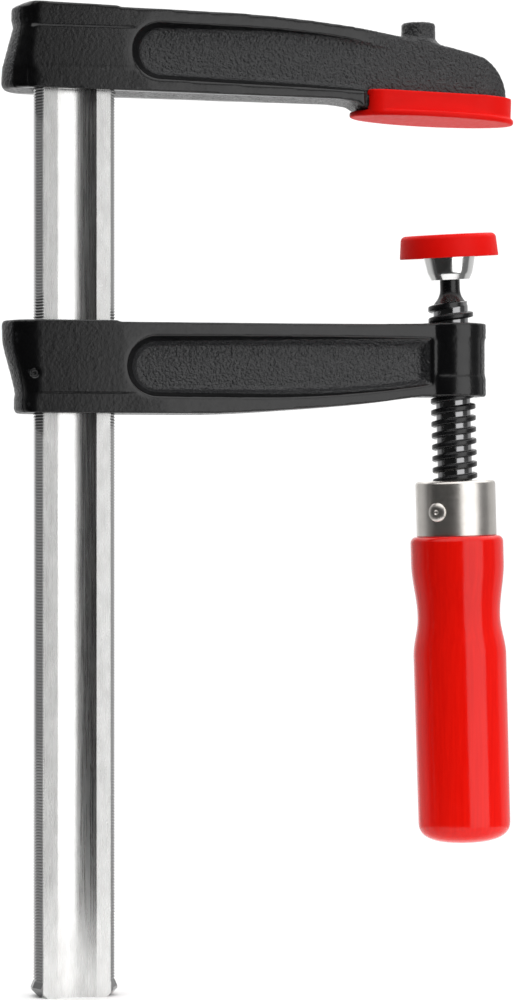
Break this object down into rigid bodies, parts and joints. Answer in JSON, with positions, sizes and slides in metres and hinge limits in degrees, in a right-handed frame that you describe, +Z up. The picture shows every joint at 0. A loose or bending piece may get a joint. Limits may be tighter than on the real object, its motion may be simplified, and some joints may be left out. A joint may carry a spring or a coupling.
{
  "type": "f clamp",
  "caption": "F clamp: serrated rail, fixed arm, sliding arm with right-hand screw spindle, swivelling pressure plate and wooden handle.",
  "frame": {"origin": "point on the fixed jaw's clamping face where the spindle's axis meets it", "axes": "+Z up along the rail, +X from the rail to the spindle, Y across the clamp, which is symmetric about Y = 0 apart from its screw thread, rivet and pin slit"},
  "size_m": [0.1511, 0.0287, 0.2822],
  "materials": {
    "rail_steel": "cold-drawn and zinc-plated, bright",
    "black_casting": "black powder coat over a fine cast grain",
    "red_plastic": "smooth red polyamide",
    "pin_steel": "plain spring steel",
    "spindle_black": "gloss black oxide, oiled",
    "spring_wire": "plain spring wire",
    "zinc_plate": "bright zinc",
    "ferrule_steel": "nickel-plated, satin",
    "red_wood": "red gloss lacquer on beech"
  },
  "bodies": {
    "frame": {"rail": "rail_steel", "fixed_arm": "black_casting", "fixed_jaw_cap": "red_plastic"},
    "slide_pin": {"grip_pin": "pin_steel"},
    "sliding_arm": {"sliding_arm": "black_casting"},
    "feed_ring": {"retaining_ring": "spring_wire"},
    "spindle": {"spindle": "spindle_black", "ferrule": "ferrule_steel", "handle": "red_wood", "handle_rivet": "ferrule_steel"},
    "pressure_foot": {"pressure_plate": "zinc_plate", "pressure_plate_cap": "red_plastic"}
  },
  "joints": [
    {"name": "arm_slide", "type": "slide", "parent": "frame", "child": "slide_pin", "axis": [0, 0, 1], "range_m": [-0.16, 0.001]},
    {"name": "arm_tilt", "type": "hinge", "parent": "slide_pin", "child": "sliding_arm", "pos_m": [-0.12252, 0, -0.0745], "axis": [0, 1, 0], "range_deg": [-1.8, 0]},
    {"name": "spindle_feed", "type": "slide", "parent": "sliding_arm", "child": "feed_ring", "axis": [-0.0279, 0, 0.9996], "range_m": [-0.0115, 0.0236]},
    {"name": "spindle_turn", "type": "hinge", "parent": "feed_ring", "child": "spindle", "pos_m": [0.00113, 0, -0.0404], "axis": [-0.0279, 0, 0.9996], "range_deg": [-1232, 2528]},
    {"name": "plate_tilt", "type": "hinge", "parent": "feed_ring", "child": "pressure_foot", "pos_m": [0.00113, 0, -0.0404], "axis": [0, 1, 0], "range_deg": [-4, 8]}
  ],
  "couplings": [
    {"joint": "spindle_feed", "follows": "spindle_turn", "m_per_rad": 0.00053476}
  ]
}
